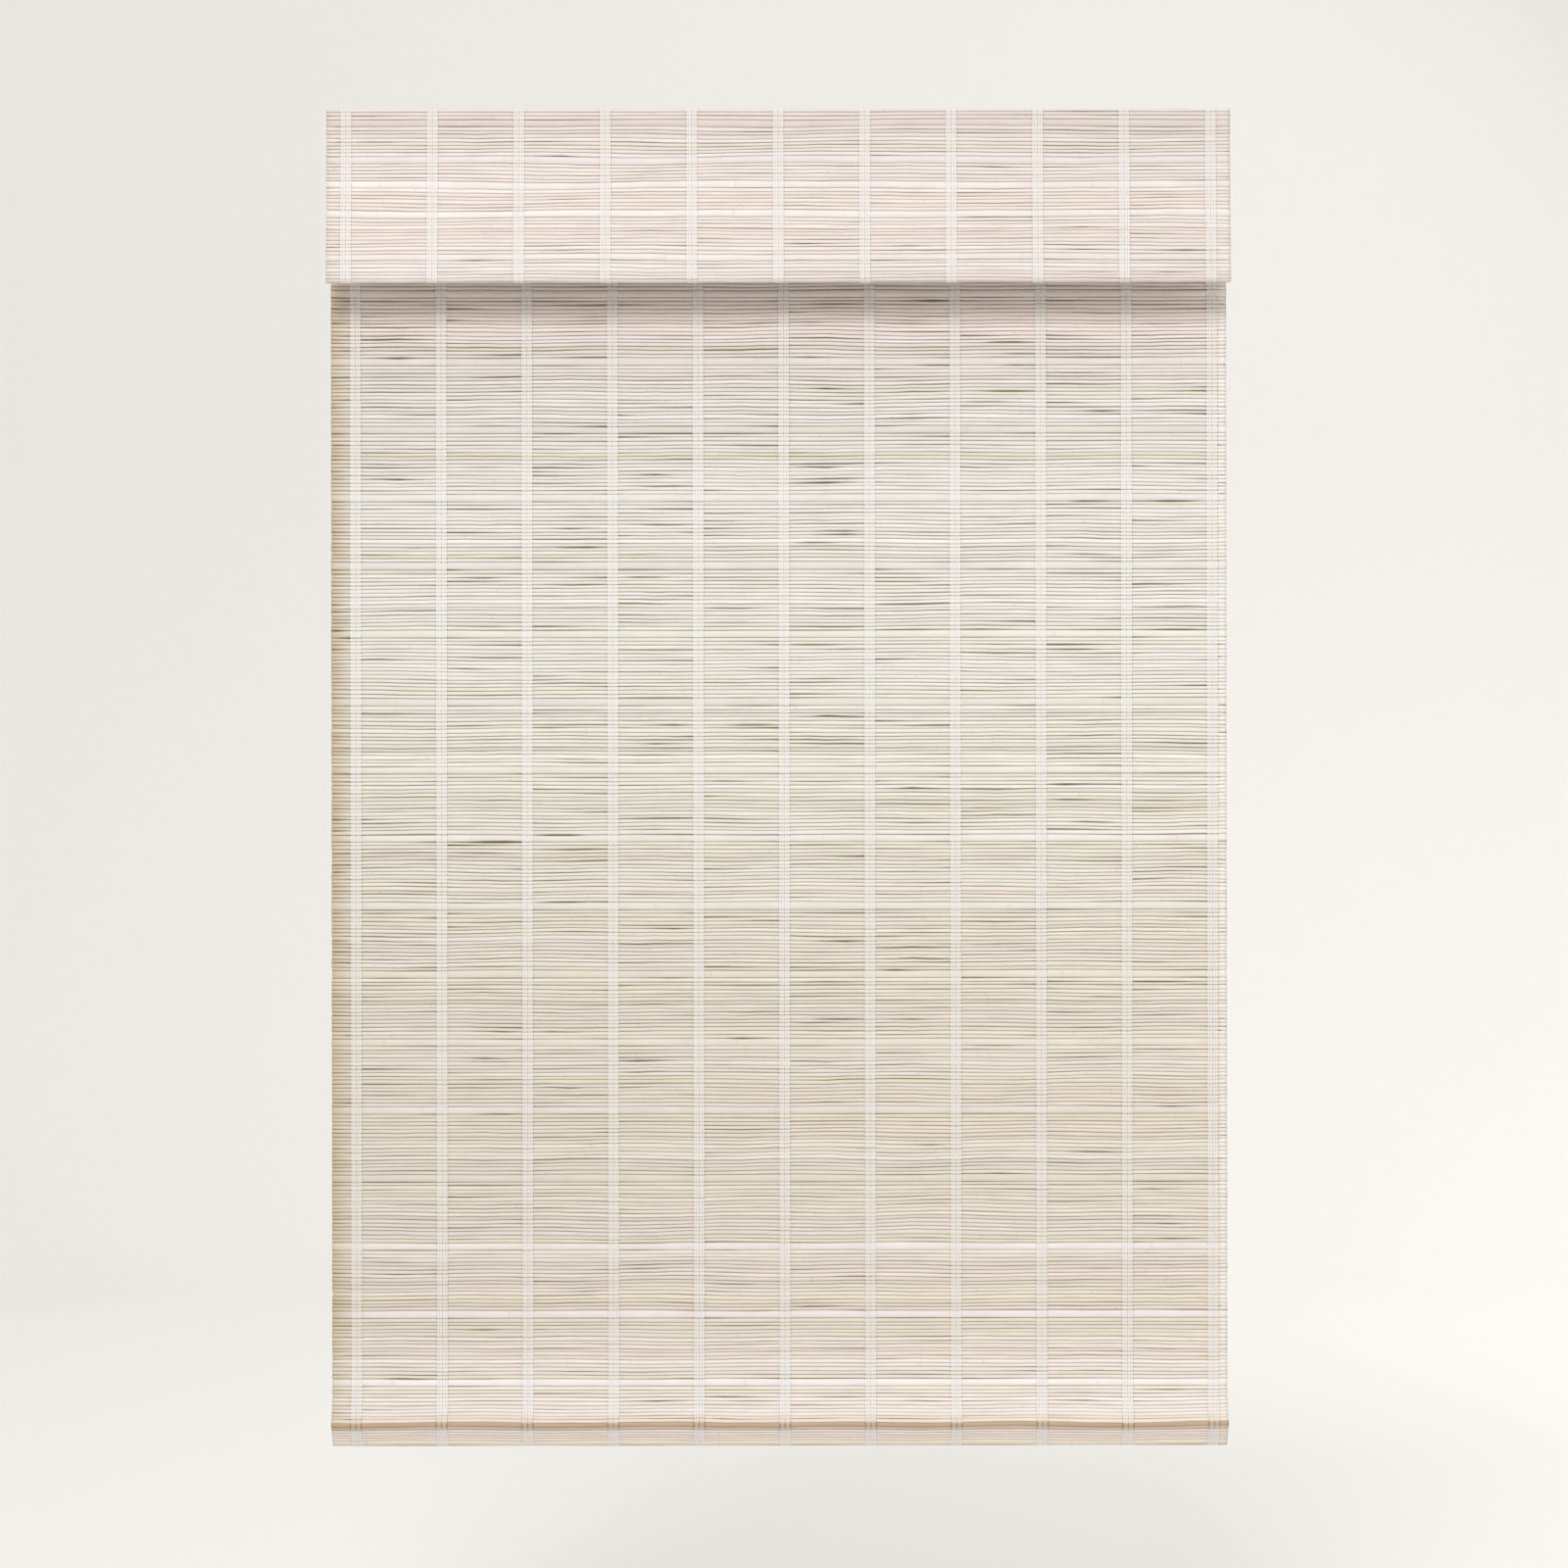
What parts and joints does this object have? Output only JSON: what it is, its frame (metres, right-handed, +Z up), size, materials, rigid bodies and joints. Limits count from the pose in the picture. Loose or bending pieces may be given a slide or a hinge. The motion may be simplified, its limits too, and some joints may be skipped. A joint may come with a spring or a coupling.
{
  "type": "bamboo roman blind",
  "caption": "Cordless roman blind of white-washed bamboo reeds woven with cotton bands, with a valance over a headrail and a hemmed bottom bar, which folds up in an accordion stack.",
  "frame": {"origin": "middle of the four bracket screw holes, on the brackets' top face under the lintel", "axes": "+Z up, the front faces -Y, +X along the reeds to the right as seen from the front"},
  "size_m": [0.787, 0.0609, 1.1717],
  "materials": {
    "reed": "white-washed bamboo, matt",
    "thread": "cotton warp thread",
    "rail": "white powder coat",
    "plastic": "moulded, satin",
    "steel": "zinc plated",
    "spring": "blued spring steel",
    "tape": "hook-and-loop pile",
    "bar": "raw wood",
    "ring": "moulded, satin"
  },
  "bodies": {
    "headrail_unit": {"headrail": "rail", "end_cap_left": "plastic", "end_cap_right": "plastic", "bracket_left": "steel", "bracket_right": "steel", "spool_cradle_left": "plastic", "spool_cradle_centre": "plastic", "spool_cradle_right": "plastic", "motor_case": "plastic", "motor_cover": "plastic", "motor_spring": "spring", "storage_axle": "steel", "mat_hook_tape": "tape", "mat_loop_tape": "tape", "valance_hook_tape": "tape", "valance_loop_tape": "tape", "valance_mat": "reed", "valance_warp": "thread", "mat_head": "reed", "warp_head": "thread"},
    "lift_drive": {"lift_shaft": "steel", "spool_left": "plastic", "spool_centre": "plastic", "spool_right": "plastic", "motor_output_drum": "plastic"},
    "storage_drum": {"motor_storage_drum": "plastic"},
    "panel_1": {"mat_panel_1": "reed", "warp_panel_1": "thread"},
    "panel_2": {"mat_panel_2": "reed", "warp_panel_2": "thread"},
    "panel_3": {"mat_panel_3": "reed", "warp_panel_3": "thread"},
    "panel_4": {"mat_panel_4": "reed", "warp_panel_4": "thread"},
    "panel_5": {"mat_panel_5": "reed", "warp_panel_5": "thread"},
    "panel_6": {"mat_panel_6": "reed", "warp_panel_6": "thread"},
    "panel_7": {"mat_panel_7": "reed", "warp_panel_7": "thread"},
    "panel_8": {"mat_panel_8": "reed", "warp_panel_8": "thread"},
    "ring_row_1": {"cord_rings_1": "ring"},
    "ring_row_2": {"cord_rings_2": "ring"},
    "ring_row_3": {"cord_rings_3": "ring"},
    "ring_row_4": {"cord_rings_4": "ring"},
    "hem": {"mat_tail": "reed", "warp_tail": "thread", "bottom_bar": "bar"}
  },
  "joints": [
    {"name": "fold_1", "type": "hinge", "parent": "headrail_unit", "child": "panel_1", "pos_m": [0, 0.00918, -0.16118], "axis": [-1, 0, 0], "range_deg": [0, 84]},
    {"name": "fold_2", "type": "hinge", "parent": "panel_1", "child": "panel_2", "pos_m": [0, 0.01318, -0.28077], "axis": [-1, 0, 0], "range_deg": [-168, 0]},
    {"name": "fold_3", "type": "hinge", "parent": "panel_2", "child": "panel_3", "pos_m": [0, 0.00918, -0.40036], "axis": [-1, 0, 0], "range_deg": [0, 168]},
    {"name": "fold_4", "type": "hinge", "parent": "panel_3", "child": "panel_4", "pos_m": [0, 0.01318, -0.51996], "axis": [-1, 0, 0], "range_deg": [-168, 0]},
    {"name": "fold_5", "type": "hinge", "parent": "panel_4", "child": "panel_5", "pos_m": [0, 0.00918, -0.63955], "axis": [-1, 0, 0], "range_deg": [0, 168]},
    {"name": "fold_6", "type": "hinge", "parent": "panel_5", "child": "panel_6", "pos_m": [0, 0.01318, -0.75914], "axis": [-1, 0, 0], "range_deg": [-168, 0]},
    {"name": "fold_7", "type": "hinge", "parent": "panel_6", "child": "panel_7", "pos_m": [0, 0.00918, -0.87873], "axis": [-1, 0, 0], "range_deg": [0, 168]},
    {"name": "fold_8", "type": "hinge", "parent": "panel_7", "child": "panel_8", "pos_m": [0, 0.01318, -0.99832], "axis": [-1, 0, 0], "range_deg": [-168, 0]},
    {"name": "hem_fold", "type": "hinge", "parent": "panel_8", "child": "hem", "pos_m": [0, 0.00918, -1.11792], "axis": [-1, 0, 0], "range_deg": [0, 84]},
    {"name": "ring_row_1_swing", "type": "hinge", "parent": "panel_2", "child": "ring_row_1", "pos_m": [0, 0.0143, -0.39436], "axis": [-1, 0, 0], "range_deg": [0, 84]},
    {"name": "ring_row_2_swing", "type": "hinge", "parent": "panel_4", "child": "ring_row_2", "pos_m": [0, 0.0143, -0.63355], "axis": [-1, 0, 0], "range_deg": [0, 84]},
    {"name": "ring_row_3_swing", "type": "hinge", "parent": "panel_6", "child": "ring_row_3", "pos_m": [0, 0.0143, -0.87273], "axis": [-1, 0, 0], "range_deg": [0, 84]},
    {"name": "ring_row_4_swing", "type": "hinge", "parent": "panel_8", "child": "ring_row_4", "pos_m": [0, 0.0143, -1.11192], "axis": [-1, 0, 0], "range_deg": [0, 84]},
    {"name": "lift_drive_turn", "type": "hinge", "parent": "headrail_unit", "child": "lift_drive", "pos_m": [0, 0.009, -0.0144], "axis": [1, 0, 0], "range_deg": [0, 5544]},
    {"name": "storage_drum_turn", "type": "hinge", "parent": "headrail_unit", "child": "storage_drum", "pos_m": [0, -0.009, -0.0144], "axis": [1, 0, 0], "range_deg": [-5544, 0]}
  ],
  "couplings": [
    {"joint": "fold_2", "follows": "fold_1", "ratio": -2},
    {"joint": "fold_3", "follows": "fold_1", "ratio": 2},
    {"joint": "fold_4", "follows": "fold_1", "ratio": -2},
    {"joint": "fold_5", "follows": "fold_1", "ratio": 2},
    {"joint": "fold_6", "follows": "fold_1", "ratio": -2},
    {"joint": "fold_7", "follows": "fold_1", "ratio": 2},
    {"joint": "fold_8", "follows": "fold_1", "ratio": -2},
    {"joint": "hem_fold", "follows": "fold_1", "ratio": 1},
    {"joint": "ring_row_1_swing", "follows": "fold_1", "ratio": 1},
    {"joint": "ring_row_2_swing", "follows": "fold_1", "ratio": 1},
    {"joint": "ring_row_3_swing", "follows": "fold_1", "ratio": 1},
    {"joint": "ring_row_4_swing", "follows": "fold_1", "ratio": 1},
    {"joint": "lift_drive_turn", "follows": "fold_1", "ratio": 66},
    {"joint": "storage_drum_turn", "follows": "fold_1", "ratio": -66}
  ]
}
